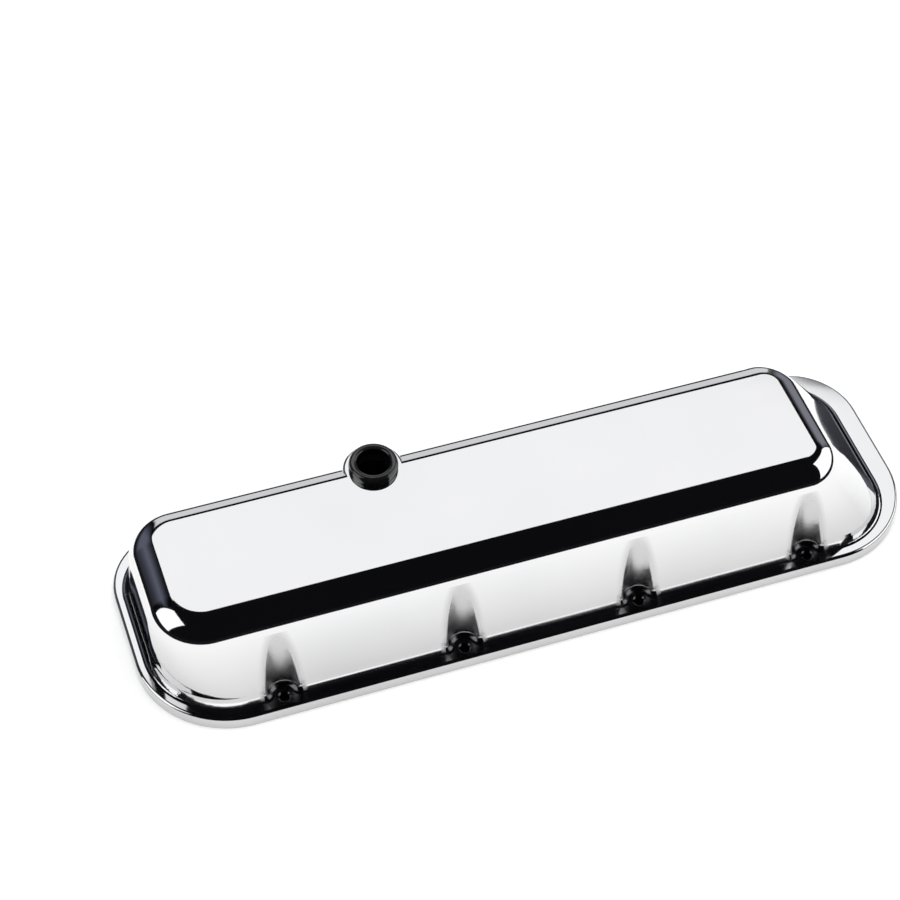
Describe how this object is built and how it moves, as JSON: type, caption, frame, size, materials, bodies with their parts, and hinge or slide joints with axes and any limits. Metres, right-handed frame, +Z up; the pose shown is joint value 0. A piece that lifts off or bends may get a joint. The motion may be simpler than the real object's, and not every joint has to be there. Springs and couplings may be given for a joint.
{
  "type": "engine valve cover",
  "caption": "Polished cast aluminium valve cover with bolt rail, wrench notches and a rubber breather grommet.",
  "frame": {"origin": "middle of the gasket face, on the rail's underside", "axes": "+X along the crankshaft line, +Y towards the intake side, +Z up through the crown"},
  "size_m": [0.5414, 0.1664, 0.087],
  "materials": {
    "polished_aluminium": "polished",
    "black_rubber": "satin",
    "plated_sheet": "satin",
    "zinc_screw": "satin"
  },
  "bodies": {
    "root": {"valve_cover": "polished_aluminium", "breather_grommet": "black_rubber", "oil_baffle": "plated_sheet", "baffle_screws": "zinc_screw"}
  },
  "joints": []
}
